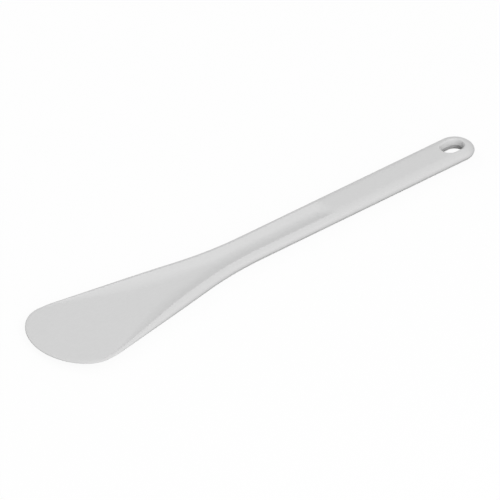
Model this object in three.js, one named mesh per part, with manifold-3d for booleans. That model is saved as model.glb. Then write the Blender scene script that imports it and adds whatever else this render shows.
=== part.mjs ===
// Mixing spatula of the pastry kitchen: blade, neck, handle and hanging eye in one moulding.
// Millimetres, +Z up. It lies flat with the blade towards -X and the hanging eye towards +X.
// The origin is on the surface that it lies on, under the middle of its length.

import * as THREE from "three";
import { mergeVertices } from "three/addons/utils/BufferGeometryUtils.js";
import Module from "manifold-3d";

// Plan outline. A station is a distance along the length from the tip of the blade.
const overallLength = 300;
const bladeWidth = 58.9;
const tipFullness = 15.9; // pull of the tip curve sideways at the tip: more is blunter
const cornerFullness = 11.2; // pull of the tip curve forwards at the widest stretch: more is squarer
const shoulderStation = 27.2; // where the widest stretch and the flank would meet in a corner
const shoulderBlend = 5.1; // length on each side of that corner that rounds it
const neckStation = 123.4; // where the flank and the handle would meet in a corner
const neckBlend = 20.6; // length on each side of that corner that rounds it
const handleWidth = 21.3;

// Thickness. The rims swell from the thin tip to the handle, and their edge is a half ellipse.
const handleThickness = 6.8;
const tipThickness = 1.3; // the web between the rims of the blade keeps it
const swellStart = 20; // station where the rims begin to swell
const swellEnd = 94; // station where they have the handle's thickness
const edgeAspect = 1.65; // width of the rounded edge over half the rim's thickness

// Trough between the rims, the same on both faces. Each side falls straight from the crest of its rim
// and levels out over its foot, at the web or where it meets the other side.
const troughSlope = 0.42; // fall of a side over the distance across
const troughFoot = 8; // width of the foot
const footRoom = 0.45; // most of the way from the crest to the middle line that the foot may take
const troughStart = 35; // station where the crests begin to move out onto the rounded edges
const troughFull = 90; // station where they have their place on them
const crestShare = 0.68; // part of the rounded edge's width that stays outside the crest from there on
const troughEnd = 199; // station on the handle where the trough has run out
const troughRunOut = 8; // length of the ramp that ends it

// Hanging eye, a slot whose outer end runs round the same centre as the end of the handle
const eyeWidth = 9.2; // at the parting plane
const eyeStraight = 4; // between the centres of its round ends
const eyeLip = 1; // radius of the rounding where the eye meets each face
const eyeLipSlant = THREE.MathUtils.degToRad(75); // lean of that rounding at the face, from upright
const eyeDraft = THREE.MathUtils.degToRad(12); // the wall opens from the parting plane to both faces
const cutterReach = 0.5; // how far the eye's cutter stands out of each face

// Facets
const tipSteps = 18;
const shoulderSteps = 4;
const flankSteps = 12;
const neckSteps = 10;
const handleSteps = 10;
const runOutSteps = 5;
const endSteps = 12;
const edgeSteps = 5;
const sideSteps = 10;
const eyeSteps = 12;
const lipSteps = 4;

const { clamp, lerp, smoothstep } = THREE.MathUtils;

// The middle of the end arc, which the hanging eye shares
const endCentre = overallLength - handleWidth / 2;

// Half of the plan outline from the tip to the end of the handle, as one curve for each stretch
function halfOutline() {
  const shoulder = new THREE.Vector2(shoulderStation, bladeWidth / 2);
  const neck = new THREE.Vector2(neckStation, handleWidth / 2);
  const flank = neck.clone().sub(shoulder).normalize();
  const widest = new THREE.Vector2(shoulder.x - shoulderBlend, shoulder.y);
  const flankStart = shoulder.clone().addScaledVector(flank, shoulderBlend);
  const flankEnd = neck.clone().addScaledVector(flank, -neckBlend);

  const path = new THREE.Path();
  path.moveTo(0, 0);
  path.bezierCurveTo(0, tipFullness, widest.x - cornerFullness, widest.y, widest.x, widest.y);
  path.quadraticCurveTo(shoulder.x, shoulder.y, flankStart.x, flankStart.y);
  path.lineTo(flankEnd.x, flankEnd.y);
  path.quadraticCurveTo(neck.x, neck.y, neck.x + neckBlend, neck.y);
  path.lineTo(endCentre, handleWidth / 2);
  path.absarc(endCentre, 0, handleWidth / 2, Math.PI / 2, 0, true);
  const [tip, corner, side, bend, handle, end] = path.curves;
  return { tip, corner, side, bend, handle, end };
}

// Fractions of a curve in even steps, without its last point
function evenSteps(count) {
  return Array.from({ length: count }, (_, i) => i / count);
}

// Fractions of the handle's straight stretch, closer together where the trough runs out
function handleFractions(line) {
  const from = line.v1.x;
  const length = line.v2.x - from;
  const ramp = evenSteps(runOutSteps)
    .concat(1)
    .map((f) => (troughEnd - troughRunOut * (1 - f) - from) / length)
    .filter((f) => f > 0 && f < 1);
  return evenSteps(handleSteps).concat(ramp).sort((a, b) => a - b);
}

// Points round half of the outline, each with the outline's outward direction there
function stations() {
  const { tip, corner, side, bend, handle, end } = halfOutline();
  const stretches = [
    [tip, evenSteps(tipSteps)],
    [corner, evenSteps(shoulderSteps)],
    [side, evenSteps(flankSteps)],
    [bend, evenSteps(neckSteps)],
    [handle, handleFractions(handle)],
    [end, evenSteps(endSteps).concat(1)],
  ];
  return stretches.flatMap(([curve, fractions]) =>
    fractions.map((fraction) => {
      const along = curve.getTangent(fraction);
      return { point: curve.getPoint(fraction), outward: new THREE.Vector2(-along.y, along.x) };
    }),
  );
}

// Half the thickness of the rim at a station
function rimHalfThickness(x) {
  return lerp(tipThickness, handleThickness, smoothstep(x, swellStart, swellEnd)) / 2;
}

// Height of the rounded edge above the parting plane, at a distance in from the outline
function crownHeight(inset, rise) {
  const left = clamp(1 - inset / (edgeAspect * rise), 0, 1);
  return rise * Math.sqrt(1 - left ** 2);
}

// Distance of the crest from the outline at a station, where the rounded edge has some width
function crestInsetAt(x, reach) {
  const share = clamp((x - troughStart) / (troughFull - troughStart), 0, 1);
  return reach * lerp(1, crestShare, share * (2 - share));
}

// Part of the trough's depth that is left at a station, from 1 down to 0 where it has run out
function troughDepth(x) {
  return 1 - smoothstep(x, troughEnd - troughRunOut, troughEnd);
}

// Width of the trough's side below a crest, and of the foot at its lower end
function troughSide(crest) {
  const slant = Math.max(crest.z - tipThickness / 2, 0) / troughSlope;
  const foot = Math.min(troughFoot, footRoom * crest.y, 2 * slant);
  return { width: Math.min(slant + foot / 2, crest.y), foot };
}

// Fall of the trough's side at a distance in from its crest
function troughFall(depth, { width, foot }) {
  const past = clamp(depth - (width - foot), 0, foot);
  return troughSlope * (Math.min(depth, width) - past ** 2 / Math.max(2 * foot, Number.EPSILON));
}

// A quarter of the section at a station: up the rounded edge to the crest, then in to the middle
function quarterSection({ point, outward }) {
  const rise = rimHalfThickness(point.x);
  const reach = edgeAspect * rise;
  const crestInset = crestInsetAt(point.x, reach);
  const crestTurn = Math.acos(1 - crestInset / reach);
  const section = [];
  for (let i = 0; i <= edgeSteps; i++) {
    const turn = (i / edgeSteps) * crestTurn;
    const edge = point.clone().addScaledVector(outward, -reach * (1 - Math.cos(turn)));
    section.push(new THREE.Vector3(edge.x, Math.max(0, edge.y), rise * Math.sin(turn)));
  }
  const crest = section[edgeSteps];
  const side = troughSide(crest);
  const curved = Math.min(Math.max(side.width, reach), crest.y);
  const pastEndCentre = Math.max(0, crest.x - endCentre);
  const deckPoint = (y) => {
    const inwards = Math.hypot(crest.y, pastEndCentre) - Math.hypot(y, pastEndCentre);
    const plain = crownHeight(crestInset + inwards, rise);
    const hollow = crest.z - troughFall(inwards, side);
    return new THREE.Vector3(crest.x, y, lerp(plain, hollow, troughDepth(crest.x)));
  };
  for (let i = 1; i <= sideSteps; i++) {
    section.push(deckPoint(crest.y - curved * (i / sideSteps)));
  }
  section.push(deckPoint(0));
  return section;
}

// The whole section: the quarter, mirrored across the length and then across the parting plane
function wholeSection(quarter) {
  const mirror = (points, y, z) => points.map((p) => new THREE.Vector3(p.x, p.y * y, p.z * z));
  const inwards = quarter.slice(0, -1);
  const outwards = quarter.slice(1).reverse();
  return [
    ...inwards,
    ...mirror(outwards, -1, 1),
    ...mirror(inwards, -1, -1),
    ...mirror(outwards, 1, -1),
  ];
}

// Skin through rings of equally many points. A closed loft gets a flat cap on each end ring.
function loft(rings, capped) {
  const size = rings[0].length;
  const points = rings.flat();
  const faces = [];
  for (let ring = 0; ring < rings.length - 1; ring++) {
    for (let i = 0; i < size; i++) {
      const a = ring * size + i;
      const b = ring * size + ((i + 1) % size);
      faces.push(a, b, b + size, a, b + size, a + size);
    }
  }
  if (capped) {
    const last = (rings.length - 1) * size;
    for (let i = 1; i < size - 1; i++) {
      faces.push(0, i + 1, i, last, last + i, last + i + 1);
    }
  }
  return new THREE.BufferGeometry().setFromPoints(points).setIndex(faces);
}

// Moulded body without its eye. Its end rings fold shut on the middle line, so it needs no caps.
function bodyGeometry() {
  const rings = stations().map((station) => wholeSection(quarterSection(station)));
  return loft(rings, false);
}

// One level of the eye's cutter: a slot outline that is wider by some growth all round
function eyeRing(height, growth) {
  const radius = eyeWidth / 2 + growth;
  const arc = (centre, start) =>
    evenSteps(eyeSteps)
      .concat(1)
      .map((fraction) => {
        const angle = start + fraction * Math.PI;
        return new THREE.Vector3(centre + radius * Math.cos(angle), radius * Math.sin(angle), height);
      });
  return [...arc(endCentre, -Math.PI / 2), ...arc(endCentre - eyeStraight, Math.PI / 2)];
}

// Cutter of the hanging eye: drafted from the parting plane, with a rounded lip at each face
function eyeGeometry() {
  const lip = Math.min(eyeLip, handleThickness / 2);
  const lipBase = handleThickness / 2 - lip * (Math.sin(eyeLipSlant) - Math.sin(eyeDraft));
  const drafted = lipBase * Math.tan(eyeDraft);
  const levels = [[0, 0]];
  for (let i = 0; i <= lipSteps; i++) {
    const slant = lerp(eyeDraft, eyeLipSlant, i / lipSteps);
    const height = lipBase + lip * (Math.sin(slant) - Math.sin(eyeDraft));
    const growth = drafted + lip * (Math.cos(eyeDraft) - Math.cos(slant));
    levels.push([height, growth]);
  }
  const [faceHeight, faceGrowth] = levels.at(-1);
  levels.push([faceHeight + cutterReach, faceGrowth + cutterReach * Math.tan(eyeLipSlant)]);
  const below = levels.slice(1).reverse().map(([height, growth]) => [-height, growth]);
  const rings = [...below, ...levels].map(([height, growth]) => eyeRing(height, growth));
  return loft(rings, true);
}

const wasm = await Module();
wasm.setup();

// Closed solid of a geometry, without the triangles that fold to nothing
function solidOf(geometry) {
  const merged = mergeVertices(geometry);
  const corners = merged.index.array;
  const kept = [];
  for (let i = 0; i < corners.length; i += 3) {
    const [a, b, c] = corners.slice(i, i + 3);
    if (a !== b && b !== c && c !== a) kept.push(a, b, c);
  }
  return new wasm.Manifold(
    new wasm.Mesh({
      numProp: 3,
      vertProperties: merged.getAttribute("position").array,
      triVerts: new Uint32Array(kept),
    }),
  );
}

// Geometry of a solid, with normals for display
function geometryOf(solid) {
  const { vertProperties, triVerts } = solid.getMesh();
  const geometry = new THREE.BufferGeometry();
  geometry.setAttribute("position", new THREE.BufferAttribute(vertProperties, 3));
  geometry.setIndex(new THREE.BufferAttribute(triVerts, 1));
  geometry.computeVertexNormals();
  return geometry;
}

// The spatula, laid on the surface with the origin under its middle
function makeSpatula() {
  const solid = solidOf(bodyGeometry()).subtract(solidOf(eyeGeometry()));
  const polymer = new THREE.MeshStandardMaterial({ color: 0xd3d3d3, roughness: 0.5, metalness: 0 });
  const spatula = new THREE.Mesh(geometryOf(solid), polymer);
  spatula.name = "spatula";
  spatula.position.set(-overallLength / 2, 0, handleThickness / 2);
  return spatula;
}

const part = new THREE.Group();
part.add(makeSpatula());
export default part;
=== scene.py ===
import math

import bmesh
import bpy
import numpy as np
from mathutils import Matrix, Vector


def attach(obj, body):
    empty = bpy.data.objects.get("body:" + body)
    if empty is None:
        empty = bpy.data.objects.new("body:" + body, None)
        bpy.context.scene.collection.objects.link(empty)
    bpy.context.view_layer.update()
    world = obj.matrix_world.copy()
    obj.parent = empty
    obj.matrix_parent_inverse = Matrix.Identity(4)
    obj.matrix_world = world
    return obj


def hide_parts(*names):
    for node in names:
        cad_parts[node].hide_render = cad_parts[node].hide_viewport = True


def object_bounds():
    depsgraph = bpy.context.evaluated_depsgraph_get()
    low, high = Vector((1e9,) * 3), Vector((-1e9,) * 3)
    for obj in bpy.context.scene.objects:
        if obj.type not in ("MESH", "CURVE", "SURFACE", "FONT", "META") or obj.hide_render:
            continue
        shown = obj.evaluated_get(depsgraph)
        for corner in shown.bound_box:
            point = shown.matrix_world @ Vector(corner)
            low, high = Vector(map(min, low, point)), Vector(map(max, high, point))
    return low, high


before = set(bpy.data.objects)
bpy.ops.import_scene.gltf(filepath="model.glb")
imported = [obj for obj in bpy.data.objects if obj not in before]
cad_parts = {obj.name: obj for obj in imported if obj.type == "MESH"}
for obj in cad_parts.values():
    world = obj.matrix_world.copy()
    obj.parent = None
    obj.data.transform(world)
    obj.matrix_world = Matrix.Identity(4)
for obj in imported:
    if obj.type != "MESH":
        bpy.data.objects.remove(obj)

CAD_LOW, CAD_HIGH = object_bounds()
MM = 0.001

# Sizes of the moulding in millimetres, with stations counted from the tip of the blade
LENGTH = (CAD_HIGH.x - CAD_LOW.x) / MM
BLADE_WIDTH = (CAD_HIGH.y - CAD_LOW.y) / MM
HANDLE_THICKNESS = (CAD_HIGH.z - CAD_LOW.z) / MM
HANDLE_WIDTH = 21.3
TIP_FULLNESS = 15.9
CORNER_FULLNESS = 11.2
SHOULDER_STATION = 27.2
SHOULDER_BLEND = 5.1
NECK_STATION = 123.4
NECK_BLEND = 20.6
TIP_THICKNESS = 1.3
SWELL_START = 20
SWELL_END = 94
EDGE_ASPECT = 1.65
TIP_EASING = 1.5
EASING_START = 10
EASING_END = 40
CREST_SHARE = 0.68
TROUGH_START = 35
TROUGH_FULL = 90
TROUGH_END = 199
TROUGH_RUN_OUT = 8
TROUGH_SLOPE = 0.42
TROUGH_FOOT = 8
FOOT_ROOM = 0.45
LEAST_FOOT = 0.0005
EYE_WIDTH = 9.2
EYE_STRAIGHT = 4
EYE_LIP = 1.0
EYE_DRAFT = math.radians(12)
EYE_MARGIN = 4
END_CENTRE = LENGTH - HANDLE_WIDTH / 2
EYE_SPINE = (END_CENTRE - EYE_STRAIGHT, END_CENTRE)

# Witness of the mould's parting plane, a fine bead round the edge and inside the eye
BEAD_HEIGHT = 0.06
BEAD_HALF_WIDTH = 0.14

# Steps of the mesh along the outline, across the edge and the deck, and down into the eye
TIP_STEPS = 48
SHOULDER_STEPS = 12
FLANK_STEPS = 40
NECK_STEPS = 30
GRIP_STEPS = 120
END_STEPS = 48
EDGE_STEPS = 14
SIDE_STEPS = 24
WEB_STEPS = 5
EYE_DECK_STEPS = 8
LIP_STEPS = 10
WALL_STEPS = 5
MERGE_DISTANCE = 0.002
SLIVER_LENGTH = 0.001

# Surface of the polymer: each noise has its features to the metre, its detail and its lengthwise stretch
POLYMER_COLOUR = (0.65, 0.65, 0.65, 1)
POLYMER_SPECULAR = 0.3
NOISE_RANGE = (0.3, 0.7)
FLOW_MARKS = (28, 3, 3)
FLOW_RANGE = (0.992, 1.008)
FIBRES = (1900, 2, 5)
FIBRE_RANGE = (0.985, 1.015)
SATIN = (420, 4, 1)
ROUGHNESS_RANGE = (0.46, 0.56)
GRAIN = (3200, 3, 1)
GRAIN_STRENGTH = 0.35
GRAIN_HEIGHT = 0.02 * MM

# Floor and light
FLOOR_TONE = 0.02
FLOOR_REACH = 3.0
FLOOR_GAP = 0.05 * MM
SHADOW_SHARE = 0.06
CARD_TONE = 0.9
WHITE = (1, 1, 1, 1)
TENT_STRENGTH = 0.515
SOFTBOX_SIZE = 0.6
LOW_PLACE, LOW_POWER = (-0.48, -1.33, 0.51), 8.6
HIGH_PLACE, HIGH_POWER = (0, -1.15, 0.96), 7
BACK_PLACE, BACK_POWER = (0, 1.3, 0.75), 5.9

# Camera: a long lens, aimed so that the middle of the moulding falls on its place in the photograph
IMAGE_SIZE = 500
VIEW_AZIMUTH = math.radians(-40.30)
VIEW_ELEVATION = math.radians(34.85)
VIEW_DISTANCE = 3.4
VIEW_PIXELS_PER_METRE = 1876.9
MIDDLE_PIXEL = (259.55, 243.75)


def bezier(controls, fractions):
    """Points of a Bezier curve of any degree, and the direction of travel at each."""
    share = np.asarray(fractions)[None, :, None]
    layer = np.repeat(np.array(controls, float)[:, None, :], len(fractions), axis=1)
    while len(layer) > 2:
        layer = layer[:-1] * (1 - share) + layer[1:] * share
    direction = layer[1] - layer[0]
    direction /= np.linalg.norm(direction, axis=1)[:, None]
    return layer[0] + share[0] * (layer[1] - layer[0]), direction


def half_outline():
    """Points of half the plan outline, from the tip to the handle's end, and which way is outward."""
    shoulder = np.array([SHOULDER_STATION, BLADE_WIDTH / 2])
    neck = np.array([NECK_STATION, HANDLE_WIDTH / 2])
    flank = (neck - shoulder) / np.linalg.norm(neck - shoulder)
    widest = shoulder - [SHOULDER_BLEND, 0]
    flank_start = shoulder + SHOULDER_BLEND * flank
    flank_end = neck - NECK_BLEND * flank
    neck_end = neck + [NECK_BLEND, 0]
    stretches = [
        ([(0, 0), (0, TIP_FULLNESS), widest - [CORNER_FULLNESS, 0], widest], TIP_STEPS),
        ([widest, shoulder, flank_start], SHOULDER_STEPS),
        ([flank_start, flank_end], FLANK_STEPS),
        ([flank_end, neck, neck_end], NECK_STEPS),
        ([neck_end, (END_CENTRE, HANDLE_WIDTH / 2)], GRIP_STEPS),
    ]
    points, outward = [], []
    for controls, steps in stretches:
        place, direction = bezier(controls, np.arange(steps) / steps)
        points.append(place)
        outward.append(np.stack([-direction[:, 1], direction[:, 0]], axis=1))
    angle = np.linspace(math.pi / 2, 0, END_STEPS + 1)
    radial = np.stack([np.cos(angle), np.sin(angle)], axis=1)
    points.append([END_CENTRE, 0] + HANDLE_WIDTH / 2 * radial)
    outward.append(radial)
    return np.vstack(points), np.vstack(outward)


def smooth_step(x, low, high):
    """Ease from 0 to 1 between two stations."""
    share = np.clip((x - low) / (high - low), 0, 1)
    return share * share * (3 - 2 * share)


def rim_half_thickness(x):
    """Height of the rim above the parting plane, which swells from the tip to the neck."""
    swell = smooth_step(x, SWELL_START, SWELL_END)
    return (TIP_THICKNESS + (HANDLE_THICKNESS - TIP_THICKNESS) * swell) / 2


def edge_reach(x):
    """Width of the rounded edge, which is eased more along the scraping edge of the tip."""
    easing = TIP_EASING * (1 - smooth_step(x, EASING_START, EASING_END))
    return EDGE_ASPECT * rim_half_thickness(x) + easing


def trough_growth(x):
    """Share of the trough that has opened, from the blade towards the neck."""
    share = np.clip((x - TROUGH_START) / (TROUGH_FULL - TROUGH_START), 0, 1)
    return share * (2 - share)


def trough_run_out(x):
    """Share of the trough that is left where it runs out in the grip."""
    return 1 - smooth_step(x, TROUGH_END - TROUGH_RUN_OUT, TROUGH_END)


def crest_inset(x):
    """Distance of the trough's crest from the outline. Ahead of the trough, the edge levels out there."""
    return edge_reach(x) * (1 - (1 - CREST_SHARE) * trough_growth(x))


def crown(inset, rise, reach):
    """Height of the rounded edge above the parting plane at a distance from the outline."""
    left = np.clip(1 - inset / reach, 0, 1)
    return rise * np.sqrt(1 - left**2)


def edge_patch(points, outward):
    """Rounded edge from the parting plane up to the crest, one row for each point of the outline."""
    rise = rim_half_thickness(points[:, 0])
    reach = edge_reach(points[:, 0])
    first = np.arcsin(BEAD_HALF_WIDTH / rise)
    last = np.arccos(1 - crest_inset(points[:, 0]) / reach)
    levels = [(np.full_like(rise, -BEAD_HEIGHT), np.zeros_like(rise))]
    for share in np.linspace(0, 1, EDGE_STEPS + 1):
        turn = first + share * (last - first)
        levels.append((reach * (1 - np.cos(turn)), rise * np.sin(turn)))
    rows = []
    for inset, height in levels:
        plan = points - outward * inset[:, None]
        plan[:, 1] = np.maximum(plan[:, 1], 0)
        rows.append(np.column_stack([plan, height]))
    return np.stack(rows, axis=1)


def trough_side(crest):
    """Width of the trough's side down to the web or the middle line, and of its levelling foot."""
    slant = np.maximum(crest[:, 2] - TIP_THICKNESS / 2, 0) / TROUGH_SLOPE
    foot = np.minimum(np.minimum(TROUGH_FOOT, FOOT_ROOM * crest[:, 1]), 2 * slant)
    return np.minimum(slant + foot / 2, crest[:, 1]), foot


def trough_fall(depth, flank, foot):
    """Fall of the trough's side at a distance in from its crest."""
    past = np.clip(depth - (flank - foot), 0, foot)
    levelling = past**2 / (2 * np.maximum(foot, LEAST_FOOT))
    return TROUGH_SLOPE * (np.minimum(depth, flank) - levelling)


def deck_patch(points, crest):
    """Deck between the two crests, hollowed by the trough: one row across for each crest point."""
    rise = rim_half_thickness(points[:, 0])
    reach = edge_reach(points[:, 0])
    inset = crest_inset(points[:, 0])
    x, y, crest_height = crest.T
    flank, foot = trough_side(crest)
    cut = trough_run_out(x)
    curved = np.minimum(np.maximum(flank, reach), y)
    depths = [curved * share for share in np.linspace(0, 1, SIDE_STEPS + 1)]
    depths += [curved + (y - curved) * share for share in np.linspace(0, 1, WEB_STEPS + 1)[1:]]
    half = []
    for depth in depths:
        plain = crown(inset + depth, rise, reach)
        hollow = crest_height - trough_fall(depth, flank, foot)
        half.append(np.stack([x, y - depth, plain + cut * (hollow - plain)], axis=1))
    other = [column * [1, -1, 1] for column in half[-2::-1]]
    return np.stack(half + other, axis=1)


def eye_direction(loop):
    """For each point round the eye, the nearest point of the eye's spine and the direction from it."""
    spine = np.zeros((len(loop), 2))
    spine[:, 0] = np.clip(loop[:, 0], *EYE_SPINE)
    away = loop[:, :2] - spine
    return spine, away / np.linalg.norm(away, axis=1)[:, None]


def eye_patches(crest, join_row):
    """Deck round the eye, and the eye's lip and wall down to the parting plane."""
    far = crest[-2::-1] * [1, -1, 1]
    loop = np.vstack([crest, far, join_row[-2:0:-1]])
    loop = np.vstack([loop, loop[:1]])
    spine, away = eye_direction(loop)
    half_height = HANDLE_THICKNESS / 2
    lip_base = half_height - EYE_LIP * (1 - math.sin(EYE_DRAFT))
    drafted = lip_base * math.tan(EYE_DRAFT)

    def place(growth):
        return spine + away * (EYE_WIDTH / 2 + growth)

    def deck_height(plan):
        beyond = np.maximum(plan[:, 0] - END_CENTRE, 0)
        inset = HANDLE_WIDTH / 2 - np.hypot(beyond, plan[:, 1])
        return crown(inset, half_height, edge_reach(END_CENTRE))

    rim = place(drafted + EYE_LIP * math.cos(EYE_DRAFT))
    deck = []
    for share in np.linspace(0, 1, EYE_DECK_STEPS + 1):
        plan = loop[:, :2] + share * (rim - loop[:, :2])
        deck.append(np.column_stack([plan, deck_height(plan)]))
    lip_height = deck[-1][:, 2] - lip_base
    wall = []
    for slant in np.linspace(math.pi / 2, EYE_DRAFT, LIP_STEPS + 1):
        plan = place(drafted + EYE_LIP * (math.cos(EYE_DRAFT) - math.cos(slant)))
        climb = (math.sin(slant) - math.sin(EYE_DRAFT)) / (1 - math.sin(EYE_DRAFT))
        wall.append(np.column_stack([plan, lip_base + lip_height * climb]))
    for height in np.linspace(lip_base, BEAD_HALF_WIDTH, WALL_STEPS + 1)[1:]:
        plan = place(height * math.tan(EYE_DRAFT))
        wall.append(np.column_stack([plan, np.full(len(plan), height)]))
    wall.append(np.column_stack([place(-BEAD_HEIGHT), np.zeros(len(loop))]))
    return np.stack(deck, axis=1), np.stack(wall, axis=1)


def add_patch(mesh, patch):
    """Quads of a grid of points in millimetres, and their mirror below the parting plane."""
    origin = np.array([LENGTH / 2, 0, -HANDLE_THICKNESS / 2])
    for side in (1, -1):
        place = (patch * [1, 1, side] - origin) * MM + [0, 0, CAD_LOW.z]
        rows = [[mesh.verts.new(point) for point in row] for row in place]
        for here, there in zip(rows, rows[1:]):
            for i in range(len(here) - 1):
                mesh.faces.new((here[i], here[i + 1], there[i + 1], there[i]))


def make_moulding():
    """The whole spatula as one closed skin of patches."""
    points, outward = half_outline()
    edge = edge_patch(points, outward)
    crest = edge[:, -1]
    eye_start = EYE_SPINE[0] - EYE_WIDTH / 2 - EYE_LIP - EYE_MARGIN
    join = int(np.searchsorted(points[:, 0], eye_start))
    deck = deck_patch(points[: join + 1], crest[: join + 1])
    eye_deck, eye_wall = eye_patches(crest[join:], deck[-1])
    mesh = bmesh.new()
    for patch in (edge, edge * [1, -1, 1], deck, eye_deck, eye_wall):
        add_patch(mesh, patch)
    bmesh.ops.remove_doubles(mesh, verts=mesh.verts, dist=MERGE_DISTANCE * MM)
    bmesh.ops.dissolve_degenerate(mesh, edges=mesh.edges, dist=SLIVER_LENGTH * MM)
    bmesh.ops.recalc_face_normals(mesh, faces=mesh.faces)
    data = bpy.data.meshes.new("spatula_moulding")
    mesh.to_mesh(data)
    mesh.free()
    data.shade_smooth()
    piece = bpy.data.objects.new("spatula_moulding", data)
    bpy.context.scene.collection.objects.link(piece)
    return piece


def polymer_material():
    """Satin glass-filled polymer: faint flow marks, short fibres near the skin, and a fine texture."""
    material = bpy.data.materials.new("moulded_polymer")
    material.use_nodes = True
    nodes, links = material.node_tree.nodes, material.node_tree.links
    shader = nodes["Principled BSDF"]
    shader.inputs["Specular IOR Level"].default_value = POLYMER_SPECULAR
    place = nodes.new("ShaderNodeTexCoord").outputs["Object"]

    def noise(scale, detail, stretch):
        mapping = nodes.new("ShaderNodeMapping")
        mapping.inputs["Scale"].default_value = (1 / stretch, 1, 1)
        texture = nodes.new("ShaderNodeTexNoise")
        texture.inputs["Scale"].default_value = scale
        texture.inputs["Detail"].default_value = detail
        links.new(place, mapping.inputs["Vector"])
        links.new(mapping.outputs["Vector"], texture.inputs["Vector"])
        return texture.outputs["Fac"]

    def spread(value, low, high):
        """The value, brought from the noise's usual range to another one."""
        remap = nodes.new("ShaderNodeMapRange")
        remap.inputs["From Min"].default_value = NOISE_RANGE[0]
        remap.inputs["From Max"].default_value = NOISE_RANGE[1]
        remap.inputs["To Min"].default_value = low
        remap.inputs["To Max"].default_value = high
        links.new(value, remap.inputs["Value"])
        return remap.outputs["Result"]

    def product(one, other):
        times = nodes.new("ShaderNodeMath")
        times.operation = "MULTIPLY"
        links.new(one, times.inputs[0])
        links.new(other, times.inputs[1])
        return times.outputs["Value"]

    flow = spread(noise(*FLOW_MARKS), *FLOW_RANGE)
    fibres = spread(noise(*FIBRES), *FIBRE_RANGE)
    tone = nodes.new("ShaderNodeMixRGB")
    tone.blend_type = "MULTIPLY"
    tone.inputs["Fac"].default_value = 1
    tone.inputs["Color1"].default_value = POLYMER_COLOUR
    links.new(product(flow, fibres), tone.inputs["Color2"])
    links.new(tone.outputs["Color"], shader.inputs["Base Color"])

    links.new(spread(noise(*SATIN), *ROUGHNESS_RANGE), shader.inputs["Roughness"])

    grain = nodes.new("ShaderNodeBump")
    grain.inputs["Strength"].default_value = GRAIN_STRENGTH
    grain.inputs["Distance"].default_value = GRAIN_HEIGHT
    links.new(noise(*GRAIN), grain.inputs["Height"])
    links.new(grain.outputs["Normal"], shader.inputs["Normal"])
    return material


def seen_white(tree, lit, white):
    """Mix of what lights the scene and the white that the camera and reflections see."""
    path = tree.nodes.new("ShaderNodeLightPath")
    seen = path.outputs["Is Camera Ray"]
    for ray in ("Is Glossy Ray", "Is Transmission Ray"):
        either = tree.nodes.new("ShaderNodeMath")
        either.operation = "MAXIMUM"
        tree.links.new(seen, either.inputs[0])
        tree.links.new(path.outputs[ray], either.inputs[1])
        seen = either.outputs["Value"]
    mix = tree.nodes.new("ShaderNodeMixShader")
    tree.links.new(seen, mix.inputs["Fac"])
    tree.links.new(lit.outputs[0], mix.inputs[1])
    tree.links.new(white.outputs[0], mix.inputs[2])
    return mix.outputs["Shader"]


def floor_material():
    """White card that keeps a faint shadow where it is seen, and gives back little light from below."""
    material = bpy.data.materials.new("white_floor")
    material.use_nodes = True
    tree = material.node_tree
    tree.nodes.clear()
    bounce = tree.nodes.new("ShaderNodeBsdfDiffuse")
    bounce.inputs["Color"].default_value = (FLOOR_TONE, FLOOR_TONE, FLOOR_TONE, 1)
    card = tree.nodes.new("ShaderNodeBsdfDiffuse")
    card.inputs["Color"].default_value = (CARD_TONE, CARD_TONE, CARD_TONE, 1)
    glow = tree.nodes.new("ShaderNodeEmission")
    shaded = tree.nodes.new("ShaderNodeMixShader")
    shaded.inputs["Fac"].default_value = SHADOW_SHARE
    tree.links.new(glow.outputs["Emission"], shaded.inputs[1])
    tree.links.new(card.outputs["BSDF"], shaded.inputs[2])
    output = tree.nodes.new("ShaderNodeOutputMaterial")
    tree.links.new(seen_white(tree, bounce, shaded), output.inputs["Surface"])
    return material


def make_floor():
    """Wide floor just under the moulding, so that the two never share a plane."""
    data = bpy.data.meshes.new("floor")
    level = CAD_LOW.z - FLOOR_GAP
    signs = ((-1, -1), (1, -1), (1, 1), (-1, 1))
    corners = [(x * FLOOR_REACH, y * FLOOR_REACH, level) for x, y in signs]
    data.from_pydata(corners, [], [(0, 1, 2, 3)])
    data.materials.append(floor_material())
    floor = bpy.data.objects.new("floor", data)
    bpy.context.scene.collection.objects.link(floor)


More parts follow.
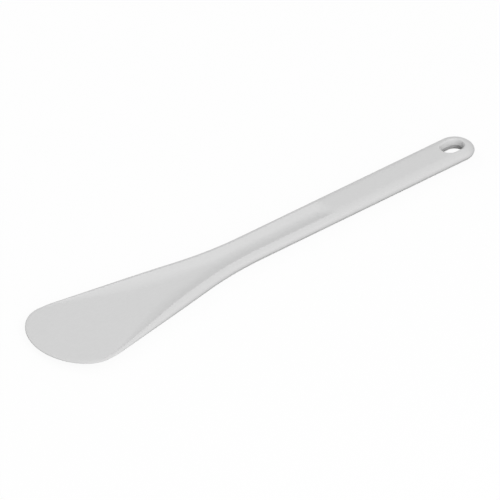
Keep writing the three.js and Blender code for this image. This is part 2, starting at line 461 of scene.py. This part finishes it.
def add_softbox(name, place, power):
    """Square lamp that faces the middle of the moulding."""
    lamp = bpy.data.lights.new(name, "AREA")
    lamp.shape = "SQUARE"
    lamp.size = SOFTBOX_SIZE
    lamp.energy = power
    light = bpy.data.objects.new(name, lamp)
    light.location = place
    light.rotation_mode = "QUATERNION"
    light.rotation_quaternion = (-Vector(place)).to_track_quat("-Z", "Y")
    bpy.context.scene.collection.objects.link(light)


def light_the_scene():
    """A white light tent with three softboxes round it."""
    world = bpy.data.worlds.new("studio")
    world.use_nodes = True
    tree = world.node_tree
    tent = tree.nodes["Background"]
    tent.inputs["Color"].default_value = WHITE
    tent.inputs["Strength"].default_value = TENT_STRENGTH
    backdrop = tree.nodes.new("ShaderNodeBackground")
    backdrop.inputs["Color"].default_value = WHITE
    tree.links.new(seen_white(tree, tent, backdrop), tree.nodes["World Output"].inputs["Surface"])
    bpy.context.scene.world = world
    add_softbox("low_softbox", LOW_PLACE, LOW_POWER)
    add_softbox("high_softbox", HIGH_PLACE, HIGH_POWER)
    add_softbox("back_softbox", BACK_PLACE, BACK_POWER)


def make_camera():
    """Camera at the viewing angle of the photograph."""
    back = Vector(
        (
            math.sin(VIEW_AZIMUTH) * math.cos(VIEW_ELEVATION),
            -math.cos(VIEW_AZIMUTH) * math.cos(VIEW_ELEVATION),
            math.sin(VIEW_ELEVATION),
        )
    )
    right = Vector((math.cos(VIEW_AZIMUTH), math.sin(VIEW_AZIMUTH), 0))
    up = back.cross(right)
    middle = (CAD_LOW + CAD_HIGH) / 2
    across = (IMAGE_SIZE / 2 - MIDDLE_PIXEL[0]) / VIEW_PIXELS_PER_METRE
    upward = (MIDDLE_PIXEL[1] - IMAGE_SIZE / 2) / VIEW_PIXELS_PER_METRE
    data = bpy.data.cameras.new("camera")
    data.lens = data.sensor_width * VIEW_PIXELS_PER_METRE * VIEW_DISTANCE / IMAGE_SIZE
    camera = bpy.data.objects.new("camera", data)
    camera.location = middle + back * VIEW_DISTANCE
    aim = middle + right * across + up * upward
    camera.rotation_mode = "QUATERNION"
    camera.rotation_quaternion = (aim - camera.location).to_track_quat("-Z", "Y")
    bpy.context.scene.collection.objects.link(camera)
    bpy.context.scene.camera = camera


moulding = make_moulding()
moulding.data.materials.append(polymer_material())
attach(moulding, "root")
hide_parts("spatula")
make_floor()
light_the_scene()
make_camera()
bpy.context.scene.view_settings.view_transform = "Standard"
